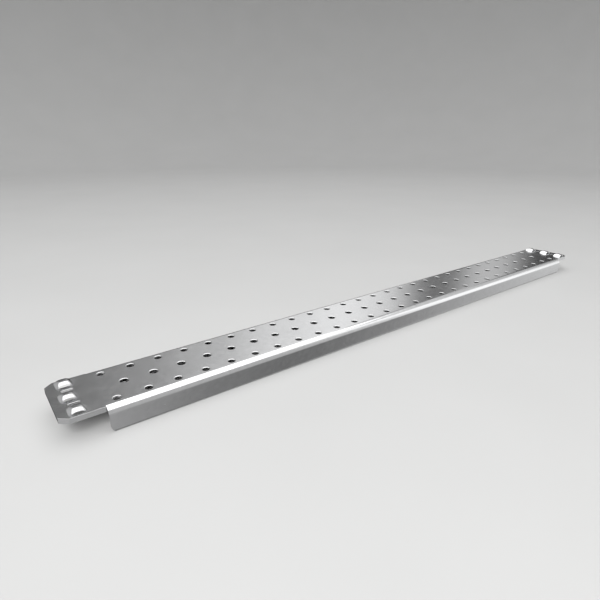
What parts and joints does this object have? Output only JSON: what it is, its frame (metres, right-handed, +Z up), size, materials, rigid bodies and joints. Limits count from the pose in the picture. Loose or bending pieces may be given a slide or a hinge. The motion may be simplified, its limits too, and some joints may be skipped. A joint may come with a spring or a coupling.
{
  "type": "scaffold plank",
  "caption": "Narrow perforated sheet-steel plank with folded side flanges and a lipped tab at each end, cross-ribbed underneath.",
  "frame": {"origin": "on the ground under the middle of the plank, level with the bottom of its side flanges", "axes": "+X along the plank, +Y across it, +Z up out of the walking surface"},
  "size_m": [1.52, 0.14, 0.0495],
  "materials": {
    "galvanised_sheet": "bright galvanised, faint spangle, softly reflective",
    "galvanised_rib": "dull galvanised"
  },
  "bodies": {
    "root": {"deck_sheet": "galvanised_sheet", "end_rib_left": "galvanised_rib", "end_rib_right": "galvanised_rib", "cross_rib_1": "galvanised_rib", "cross_rib_2": "galvanised_rib", "cross_rib_3": "galvanised_rib", "cross_rib_4": "galvanised_rib", "cross_rib_5": "galvanised_rib", "cross_rib_6": "galvanised_rib"}
  },
  "joints": []
}
